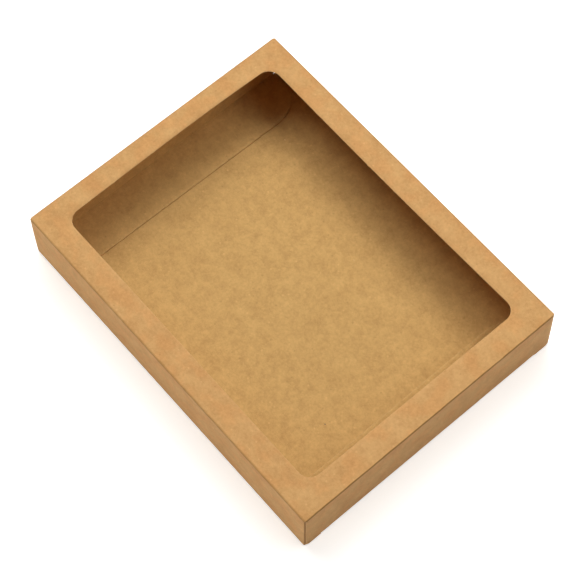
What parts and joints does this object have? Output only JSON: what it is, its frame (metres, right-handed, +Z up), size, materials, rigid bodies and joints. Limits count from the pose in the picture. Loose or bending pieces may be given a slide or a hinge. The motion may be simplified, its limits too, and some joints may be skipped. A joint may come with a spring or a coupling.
{
  "type": "window box",
  "caption": "Flat kraft-board carton with a large round-cornered window in its lid panel and a hinged tuck closure at each short end.",
  "frame": {"origin": "middle of the underside of the closed box", "axes": "+X towards the front end, the nearer short end in the picture; +Y towards the right side; +Z up through the window"},
  "size_m": [0.21, 0.161, 0.034],
  "materials": {
    "kraft_board": "uncoated brown kraft, matte, outer face",
    "kraft_board_inside": "uncoated brown kraft, matte, flap tucked inside"
  },
  "bodies": {
    "box": {"carton": "kraft_board"},
    "front_closure": {"front_end_panel": "kraft_board"},
    "front_tuck": {"front_tuck_flap": "kraft_board_inside"},
    "rear_closure": {"rear_end_panel": "kraft_board"},
    "rear_tuck": {"rear_tuck_flap": "kraft_board_inside"}
  },
  "joints": [
    {"name": "front_closure_fold", "type": "hinge", "parent": "box", "child": "front_closure", "pos_m": [0.10477, 0, 0.03377], "axis": [0, -1, 0], "range_deg": [0, 85]},
    {"name": "front_tuck_fold", "type": "hinge", "parent": "front_closure", "child": "front_tuck", "pos_m": [0.1042, 0, 0.0014], "axis": [0, -1, 0], "range_deg": [-90, 0]},
    {"name": "rear_closure_fold", "type": "hinge", "parent": "box", "child": "rear_closure", "pos_m": [-0.10477, 0, 0.03377], "axis": [0, 1, 0], "range_deg": [0, 85]},
    {"name": "rear_tuck_fold", "type": "hinge", "parent": "rear_closure", "child": "rear_tuck", "pos_m": [-0.1042, 0, 0.0014], "axis": [0, 1, 0], "range_deg": [-90, 0]}
  ],
  "couplings": [
    {"joint": "front_tuck_fold", "follows": "front_closure_fold", "ratio": -1},
    {"joint": "rear_tuck_fold", "follows": "rear_closure_fold", "ratio": -1}
  ]
}
